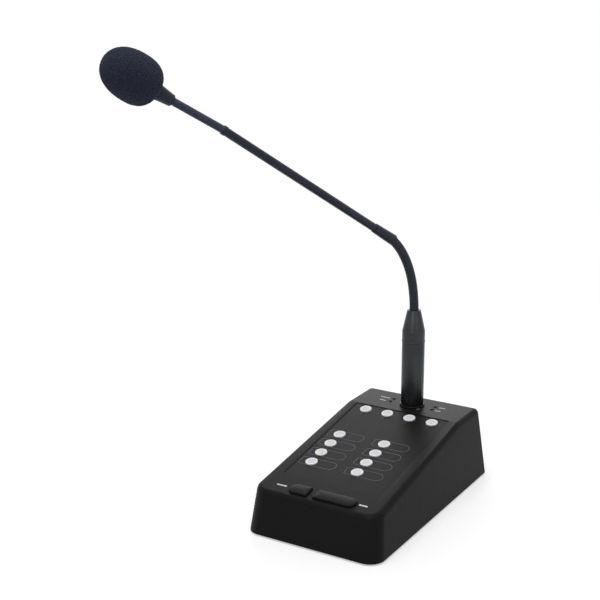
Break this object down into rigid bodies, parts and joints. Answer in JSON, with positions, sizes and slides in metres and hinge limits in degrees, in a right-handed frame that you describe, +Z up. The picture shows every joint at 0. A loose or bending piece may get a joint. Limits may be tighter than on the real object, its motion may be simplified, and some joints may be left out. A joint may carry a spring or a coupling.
{
  "type": "desk microphone",
  "caption": "Desk paging microphone: wedge base with round zone buttons and two press keys, and a plug-in gooseneck with a foam windscreen.",
  "frame": {"origin": "on the desk, under the middle of the base, at the middle of its four feet", "axes": "+X to the operator's right, +Y to the rear, +Z up; the operator sits at -Y"},
  "size_m": [0.194, 0.2949, 0.395],
  "materials": {
    "shell_plastic": "fine-textured black ABS",
    "panel_film": "matt printed polycarbonate film",
    "button_white": "satin white moulding",
    "key_black": "satin black moulding",
    "plate_steel": "black powder coat",
    "foot_rubber": "moulded rubber",
    "screw_steel": "zinc plated",
    "circuit_board": "green solder resist",
    "switch_black": "moulded nylon",
    "lamp_red": "dark red clear resin, unlit",
    "connector_black": "moulded PBT",
    "socket_metal": "black plated",
    "latch_steel": "plated steel",
    "mast_metal": "dark anodised",
    "plug_metal": "nickel plated",
    "pin_brass": "gold flashed",
    "neck_steel": "satin black finish",
    "head_metal": "satin black finish",
    "capsule_metal": "bare can",
    "screen_foam": "open-cell foam"
  },
  "bodies": {
    "base": {"housing": "shell_plastic", "overlay": "panel_film", "base_plate": "plate_steel", "rubber_feet": "foot_rubber", "base_screws": "screw_steel", "main_board": "circuit_board", "button_switches": "switch_black", "key_switches": "switch_black", "zone_leds": "lamp_red", "status_leds": "lamp_red", "led_board": "circuit_board", "board_screws": "screw_steel", "io_board": "circuit_board", "link_sockets": "connector_black", "power_socket": "connector_black", "mic_socket": "socket_metal", "socket_insert": "connector_black", "socket_nut": "screw_steel"},
    "select_button_1": {"select_button_1": "button_white"},
    "select_button_2": {"select_button_2": "button_white"},
    "select_button_3": {"select_button_3": "button_white"},
    "select_button_4": {"select_button_4": "button_white"},
    "zone_button_1": {"zone_button_1": "button_white"},
    "zone_button_2": {"zone_button_2": "button_white"},
    "zone_button_3": {"zone_button_3": "button_white"},
    "zone_button_4": {"zone_button_4": "button_white"},
    "zone_button_5": {"zone_button_5": "button_white"},
    "zone_button_6": {"zone_button_6": "button_white"},
    "zone_button_7": {"zone_button_7": "button_white"},
    "zone_button_8": {"zone_button_8": "button_white"},
    "lower_flex_1": {"lower_flex_1": "neck_steel"},
    "lower_flex_2": {"lower_flex_2": "neck_steel"},
    "lower_flex_3": {"lower_flex_3": "neck_steel"},
    "lower_flex_4": {"lower_flex_4": "neck_steel"},
    "lower_flex_5": {"lower_flex_5": "neck_steel"},
    "lower_flex_6": {"lower_flex_6": "neck_steel"},
    "upper_flex_1": {"upper_flex_1": "neck_steel"},
    "upper_flex_2": {"upper_flex_2": "neck_steel"},
    "upper_flex_3": {"upper_flex_3": "neck_steel"},
    "upper_flex_4": {"upper_flex_4": "neck_steel"},
    "chime_key": {"chime_key": "key_black"},
    "talk_key": {"talk_key": "key_black"},
    "latch_tab": {"latch_tab": "latch_steel"},
    "mast": {"mast_tube": "mast_metal", "plug_shell": "plug_metal", "plug_pins": "pin_brass", "preamp_board": "circuit_board", "mast_cone": "mast_metal"},
    "boom": {"neck_ferrule": "neck_steel", "boom_tube": "neck_steel", "boom_ring": "neck_steel"},
    "head": {"head_adapter": "head_metal", "capsule_barrel": "head_metal", "capsule": "capsule_metal", "capsule_grille": "head_metal", "windscreen": "screen_foam"}
  },
  "joints": [
    {"name": "select_button_1_press", "type": "slide", "parent": "base", "child": "select_button_1", "axis": [0, 0.1632, -0.9866], "range_m": [0, 0.0008], "stiffness_N_per_m": 1000},
    {"name": "select_button_2_press", "type": "slide", "parent": "base", "child": "select_button_2", "axis": [0, 0.1632, -0.9866], "range_m": [0, 0.0008], "stiffness_N_per_m": 1000},
    {"name": "select_button_3_press", "type": "slide", "parent": "base", "child": "select_button_3", "axis": [0, 0.1632, -0.9866], "range_m": [0, 0.0008], "stiffness_N_per_m": 1000},
    {"name": "select_button_4_press", "type": "slide", "parent": "base", "child": "select_button_4", "axis": [0, 0.1632, -0.9866], "range_m": [0, 0.0008], "stiffness_N_per_m": 1000},
    {"name": "zone_button_1_press", "type": "slide", "parent": "base", "child": "zone_button_1", "axis": [0, 0.1632, -0.9866], "range_m": [0, 0.0008], "stiffness_N_per_m": 1000},
    {"name": "zone_button_2_press", "type": "slide", "parent": "base", "child": "zone_button_2", "axis": [0, 0.1632, -0.9866], "range_m": [0, 0.0008], "stiffness_N_per_m": 1000},
    {"name": "zone_button_3_press", "type": "slide", "parent": "base", "child": "zone_button_3", "axis": [0, 0.1632, -0.9866], "range_m": [0, 0.0008], "stiffness_N_per_m": 1000},
    {"name": "zone_button_4_press", "type": "slide", "parent": "base", "child": "zone_button_4", "axis": [0, 0.1632, -0.9866], "range_m": [0, 0.0008], "stiffness_N_per_m": 1000},
    {"name": "zone_button_5_press", "type": "slide", "parent": "base", "child": "zone_button_5", "axis": [0, 0.1632, -0.9866], "range_m": [0, 0.0008], "stiffness_N_per_m": 1000},
    {"name": "zone_button_6_press", "type": "slide", "parent": "base", "child": "zone_button_6", "axis": [0, 0.1632, -0.9866], "range_m": [0, 0.0008], "stiffness_N_per_m": 1000},
    {"name": "zone_button_7_press", "type": "slide", "parent": "base", "child": "zone_button_7", "axis": [0, 0.1632, -0.9866], "range_m": [0, 0.0008], "stiffness_N_per_m": 1000},
    {"name": "zone_button_8_press", "type": "slide", "parent": "base", "child": "zone_button_8", "axis": [0, 0.1632, -0.9866], "range_m": [0, 0.0008], "stiffness_N_per_m": 1000},
    {"name": "chime_key_press", "type": "slide", "parent": "base", "child": "chime_key", "axis": [0, 0.1632, -0.9866], "range_m": [0, 0.0015], "stiffness_N_per_m": 1200},
    {"name": "talk_key_press", "type": "slide", "parent": "base", "child": "talk_key", "axis": [0, 0.1632, -0.9866], "range_m": [0, 0.0015], "stiffness_N_per_m": 1200},
    {"name": "latch_press", "type": "slide", "parent": "base", "child": "latch_tab", "axis": [0, 0, -1], "range_m": [0, 0.001], "stiffness_N_per_m": 1200},
    {"name": "mast_unplug", "type": "slide", "parent": "base", "child": "mast", "axis": [0, 0, 1], "range_m": [0, 0.02]},
    {"name": "lower_bend_1", "type": "hinge", "parent": "mast", "child": "lower_flex_1", "pos_m": [0, 0.07601, 0.15573], "axis": [0.9063, -0.4226, 0], "range_deg": [-19, 5]},
    {"name": "lower_sway_1", "type": "hinge", "parent": "lower_flex_1", "child": "lower_flex_2", "pos_m": [-0.00035, 0.07525, 0.1676], "axis": [0.4216, 0.9041, 0.0698], "range_deg": [-13, 13]},
    {"name": "lower_bend_2", "type": "hinge", "parent": "lower_flex_2", "child": "lower_flex_3", "pos_m": [-0.00115, 0.07353, 0.17935], "axis": [0.9063, -0.4226, 0], "range_deg": [-19, 5]},
    {"name": "lower_sway_2", "type": "hinge", "parent": "lower_flex_3", "child": "lower_flex_4", "pos_m": [-0.00251, 0.07063, 0.19081], "axis": [0.407, 0.8729, 0.2689], "range_deg": [-13, 13]},
    {"name": "lower_bend_3", "type": "hinge", "parent": "lower_flex_4", "child": "lower_flex_5", "pos_m": [-0.00449, 0.06638, 0.20174], "axis": [0.9063, -0.4226, 0], "range_deg": [-19, 5]},
    {"name": "lower_sway_3", "type": "hinge", "parent": "lower_flex_5", "child": "lower_flex_6", "pos_m": [-0.00715, 0.06066, 0.21184], "axis": [0.3584, 0.7686, 0.5299], "range_deg": [-13, 13]},
    {"name": "lower_bend_4", "type": "hinge", "parent": "lower_flex_6", "child": "boom", "pos_m": [-0.01052, 0.05345, 0.22068], "axis": [0.9063, -0.4226, 0], "range_deg": [-19, 5]},
    {"name": "upper_bend_1", "type": "hinge", "parent": "boom", "child": "upper_flex_1", "pos_m": [-0.0814, -0.09855, 0.33001], "axis": [0.9063, -0.4226, 0], "range_deg": [-13, 13]},
    {"name": "upper_sway_1", "type": "hinge", "parent": "upper_flex_1", "child": "upper_flex_2", "pos_m": [-0.08582, -0.10805, 0.33606], "axis": [0.2113, 0.4532, 0.866], "range_deg": [-15, 15]},
    {"name": "upper_bend_2", "type": "hinge", "parent": "upper_flex_2", "child": "upper_flex_3", "pos_m": [-0.09025, -0.11754, 0.34211], "axis": [0.9063, -0.4226, 0], "range_deg": [-13, 13]},
    {"name": "upper_sway_2", "type": "hinge", "parent": "upper_flex_3", "child": "upper_flex_4", "pos_m": [-0.09468, -0.12704, 0.34816], "axis": [0.2113, 0.4532, 0.866], "range_deg": [-15, 15]},
    {"name": "upper_bend_3", "type": "hinge", "parent": "upper_flex_4", "child": "head", "pos_m": [-0.09911, -0.13654, 0.35421], "axis": [0.9063, -0.4226, 0], "range_deg": [-13, 13]}
  ],
  "couplings": [
    {"joint": "lower_bend_2", "follows": "lower_bend_1", "ratio": 1},
    {"joint": "lower_sway_2", "follows": "lower_sway_1", "ratio": 1},
    {"joint": "lower_bend_3", "follows": "lower_bend_1", "ratio": 1},
    {"joint": "lower_sway_3", "follows": "lower_sway_1", "ratio": 1},
    {"joint": "lower_bend_4", "follows": "lower_bend_1", "ratio": 1},
    {"joint": "upper_bend_2", "follows": "upper_bend_1", "ratio": 1},
    {"joint": "upper_sway_2", "follows": "upper_sway_1", "ratio": 1},
    {"joint": "upper_bend_3", "follows": "upper_bend_1", "ratio": 1}
  ]
}
